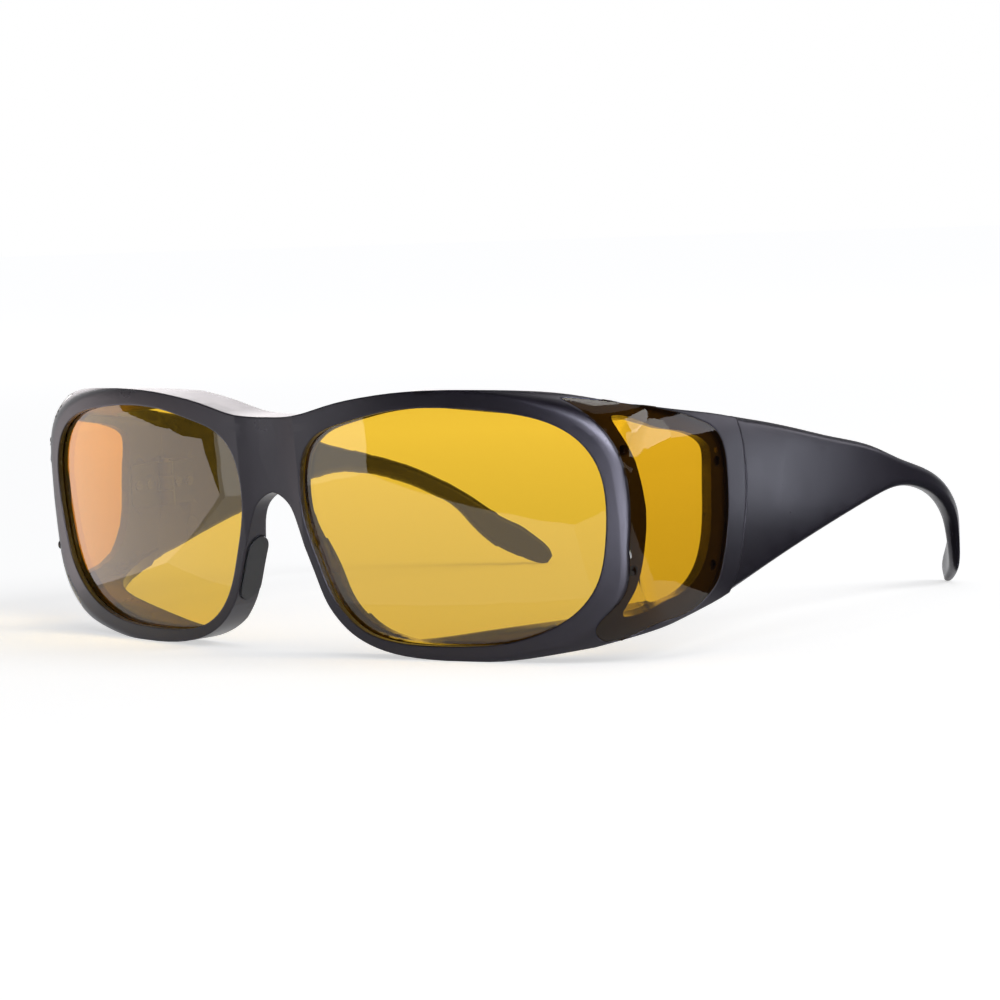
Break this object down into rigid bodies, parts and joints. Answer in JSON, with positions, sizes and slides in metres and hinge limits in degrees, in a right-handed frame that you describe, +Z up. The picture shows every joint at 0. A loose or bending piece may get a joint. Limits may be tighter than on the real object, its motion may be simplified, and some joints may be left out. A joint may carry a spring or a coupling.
{
  "type": "fitover sunglasses",
  "caption": "Wide wrap sunglasses worn over other spectacles, with amber main lenses, amber side windows and broad folding temples.",
  "frame": {"origin": "on the table under the middle of the opened pair", "axes": "+X across the face towards the wearer's left, +Y back along the temples, +Z up"},
  "size_m": [0.15, 0.1577, 0.0494],
  "materials": {
    "satin_black": "satin black moulded plastic with a faint violet sheen",
    "main_lens": "clear amber lens, polished",
    "side_window": "clear amber window, polished",
    "pad": "soft dark inlay",
    "hinge_steel": "stamped and brushed",
    "screw_steel": "turned and bright"
  },
  "bodies": {
    "front": {"front_frame": "satin_black", "lens_left": "main_lens", "side_lens_left": "side_window", "nose_pad_left": "pad", "hinge_front_leaf_left": "hinge_steel", "hinge_screw_left": "screw_steel", "front_leaf_screw_a_left": "screw_steel", "front_leaf_screw_b_left": "screw_steel", "lens_right": "main_lens", "side_lens_right": "side_window", "nose_pad_right": "pad", "hinge_front_leaf_right": "hinge_steel", "hinge_screw_right": "screw_steel", "front_leaf_screw_a_right": "screw_steel", "front_leaf_screw_b_right": "screw_steel"},
    "arm_left": {"temple_left": "satin_black", "hinge_temple_leaf_left": "hinge_steel", "temple_leaf_screw_a_left": "screw_steel", "temple_leaf_screw_b_left": "screw_steel"},
    "arm_right": {"temple_right": "satin_black", "hinge_temple_leaf_right": "hinge_steel", "temple_leaf_screw_a_right": "screw_steel", "temple_leaf_screw_b_right": "screw_steel"}
  },
  "joints": [
    {"name": "fold_left", "type": "hinge", "parent": "front", "child": "arm_left", "pos_m": [0.0701, -0.0309, 0.027], "axis": [0, 0, 1], "range_deg": [0, 90]},
    {"name": "fold_right", "type": "hinge", "parent": "front", "child": "arm_right", "pos_m": [-0.0701, -0.0309, 0.027], "axis": [0, 0, -1], "range_deg": [0, 82]}
  ]
}
